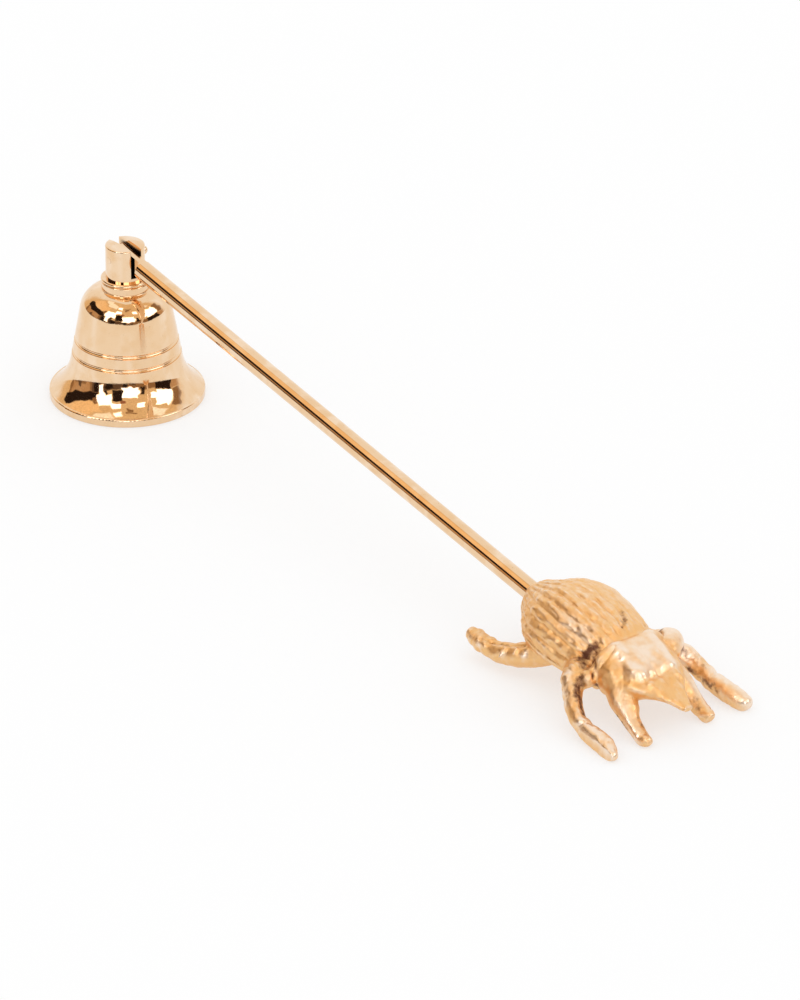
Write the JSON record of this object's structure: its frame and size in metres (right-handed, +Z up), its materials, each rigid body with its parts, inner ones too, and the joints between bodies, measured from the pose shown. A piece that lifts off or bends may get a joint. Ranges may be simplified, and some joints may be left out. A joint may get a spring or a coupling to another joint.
{
  "type": "candle snuffer",
  "caption": "Brass candle snuffer: a turned bell swings in a slotted clevis at one end of a round rod, and a cast ribbed beetle at the other end is the grip.",
  "frame": {"origin": "on the surface that the bell's rim and the beetle's feet stand on, half way along the snuffer", "axes": "+X from the bell to the beetle, +Z up, +Y along the hinge pin towards its head"},
  "size_m": [0.2494, 0.0444, 0.0428],
  "materials": {
    "polished_brass": "mirror polished",
    "cast_brass": "cast, hand polished, with dark patina left in the crevices",
    "plain_brass": "as machined"
  },
  "bodies": {
    "handle": {"rod": "polished_brass", "beetle": "cast_brass"},
    "bell_head": {"bell": "polished_brass", "collar_ring": "polished_brass", "clevis": "polished_brass", "crown_washer": "plain_brass", "crown_nut": "plain_brass", "pivot_pin": "polished_brass"}
  },
  "joints": [
    {"name": "bell_swing", "type": "hinge", "parent": "handle", "child": "bell_head", "pos_m": [-0.1047, 0, 0.0391], "axis": [0, 1, 0], "range_deg": [-8.8, 206]}
  ]
}
